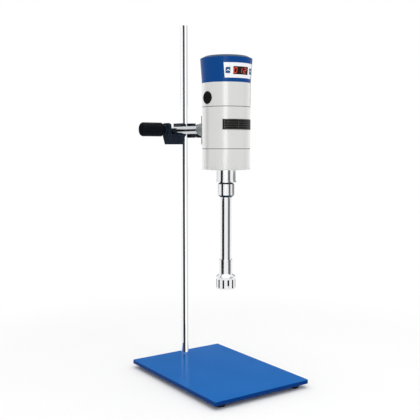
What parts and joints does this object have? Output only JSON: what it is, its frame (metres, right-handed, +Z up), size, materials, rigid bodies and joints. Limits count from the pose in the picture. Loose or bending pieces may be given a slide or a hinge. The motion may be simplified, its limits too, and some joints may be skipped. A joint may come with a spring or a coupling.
{
  "type": "rotor stator homogenizer",
  "caption": "Bench homogenizer: blue base plate and steel rod, bosshead and arm, upright motor with digital speed panel, and a stainless shaft with a slotted stator head.",
  "frame": {"origin": "under the middle of the base plate, on the surface that the rubber feet stand on", "axes": "+Z up along the stand rod; +X along the plate's long side, from the rod towards the display; -Y towards the arm's clamp knob"},
  "size_m": [0.28, 0.2, 0.655],
  "materials": {
    "blue_enamel": "gloss",
    "foot_rubber": "matt",
    "zinc_steel": "satin",
    "polished_rod": "polished",
    "clamp_casting": "painted, semi-gloss",
    "knob_plastic": "satin",
    "grey_aluminium": "satin",
    "white_enamel": "satin",
    "blue_plastic": "gloss",
    "white_panel": "satin",
    "smoked_window": "gloss",
    "button_plastic": "satin",
    "circuit_board": "satin",
    "black_plastic": "satin",
    "black_label": "anodised",
    "brass": "plain",
    "carbon": "sintered",
    "bearing_steel": "ground",
    "core_steel": "laminated",
    "copper_winding": "enamelled wire",
    "polished_tool": "polished",
    "bush_polymer": "plain"
  },
  "bodies": {
    "base": {"base_plate": "blue_enamel", "rubber_feet": "foot_rubber", "foot_screws": "zinc_steel"},
    "stand": {"stand_rod": "polished_rod", "rod_base_screw": "zinc_steel"},
    "clamp": {"bosshead": "clamp_casting"},
    "arm_screw": {"arm_clamp_screw": "zinc_steel"},
    "arm_knob": {"arm_clamp_knob": "knob_plastic"},
    "rod_screw": {"rod_clamp_screw": "zinc_steel"},
    "rod_knob": {"rod_clamp_knob": "knob_plastic"},
    "arm": {"support_arm": "polished_rod"},
    "head": {"arm_boss": "grey_aluminium", "boss_set_screw": "zinc_steel", "rear_bracket": "grey_aluminium", "bracket_screws": "zinc_steel", "lower_housing": "white_enamel", "middle_housing": "white_enamel", "upper_housing": "white_enamel", "top_cap": "blue_plastic", "cap_screws": "zinc_steel", "seam_seals": "foot_rubber", "control_panel": "white_panel", "display_window": "smoked_window", "display_board": "circuit_board", "display_module": "black_plastic", "speed_board": "circuit_board", "nameplate": "black_label", "brush_caps": "black_plastic", "brush_holders": "brass", "brushes": "carbon", "brush_springs": "zinc_steel", "cable_gland": "black_plastic", "lower_bearing": "bearing_steel", "upper_bearing": "bearing_steel", "lower_bearing_plate": "grey_aluminium", "upper_bearing_plate": "grey_aluminium", "shaft_seal": "foot_rubber", "field_core": "core_steel", "field_coils": "copper_winding", "spindle_nose": "polished_tool", "nose_nut": "zinc_steel"},
    "up_key": {"up_button": "button_plastic"},
    "down_key": {"down_button": "button_plastic"},
    "armature": {"motor_shaft": "bearing_steel", "armature_core": "core_steel", "armature_windings": "copper_winding", "commutator": "copper_winding", "fan": "black_plastic", "drive_coupling": "zinc_steel"},
    "tool": {"lock_collar": "polished_tool", "stator_tube": "polished_tool", "stator_head": "polished_tool", "shaft_bushes": "bush_polymer"},
    "tool_rotor": {"rotor_shaft": "bearing_steel", "rotor": "polished_tool"}
  },
  "joints": [
    {"name": "rod_swivel", "type": "hinge", "parent": "base", "child": "stand", "pos_m": [-0.11, 0, 0.015], "axis": [0, 0, 1], "continuous": true},
    {"name": "clamp_height", "type": "slide", "parent": "stand", "child": "clamp", "axis": [0, 0, 1], "range_m": [-0.15, 0.18]},
    {"name": "arm_reach", "type": "slide", "parent": "clamp", "child": "arm", "axis": [1, 0, 0], "range_m": [-0.06, 0.012]},
    {"name": "head_tilt", "type": "hinge", "parent": "arm", "child": "head", "pos_m": [0.0075, -0.028, 0.4555], "axis": [1, 0, 0], "range_deg": [-90, 90]},
    {"name": "motor_spin", "type": "hinge", "parent": "head", "child": "armature", "pos_m": [0.0675, -0.028, 0.4555], "axis": [0, 0, 1], "continuous": true},
    {"name": "tool_release", "type": "slide", "parent": "head", "child": "tool", "axis": [0, 0, -1], "range_m": [0, 0.009]},
    {"name": "rotor_spin", "type": "hinge", "parent": "tool", "child": "tool_rotor", "pos_m": [0.0675, -0.028, 0.4555], "axis": [0, 0, 1], "continuous": true},
    {"name": "arm_knob_turn", "type": "hinge", "parent": "arm_screw", "child": "arm_knob", "pos_m": [-0.11, -0.07, 0.4573], "axis": [0, -1, 0], "range_deg": [0, 720]},
    {"name": "arm_screw_travel", "type": "slide", "parent": "clamp", "child": "arm_screw", "axis": [0, -1, 0], "range_m": [0, 0.0025]},
    {"name": "rod_knob_turn", "type": "hinge", "parent": "rod_screw", "child": "rod_knob", "pos_m": [-0.11, 0.05, 0.4555], "axis": [0, 1, 0], "range_deg": [0, 720]},
    {"name": "rod_screw_travel", "type": "slide", "parent": "clamp", "child": "rod_screw", "axis": [0, 1, 0], "range_m": [0, 0.0025]},
    {"name": "up_button_press", "type": "slide", "parent": "head", "child": "up_key", "axis": [-1, 0, 0], "range_m": [0, 0.0005], "stiffness_N_per_m": 1500},
    {"name": "down_button_press", "type": "slide", "parent": "head", "child": "down_key", "axis": [-1, 0, 0], "range_m": [0, 0.0005], "stiffness_N_per_m": 1500}
  ],
  "couplings": [
    {"joint": "rotor_spin", "follows": "motor_spin", "ratio": 1},
    {"joint": "arm_knob_turn", "follows": "arm_screw_travel", "rad_per_m": 5026.5},
    {"joint": "rod_knob_turn", "follows": "rod_screw_travel", "rad_per_m": 5026.5}
  ]
}
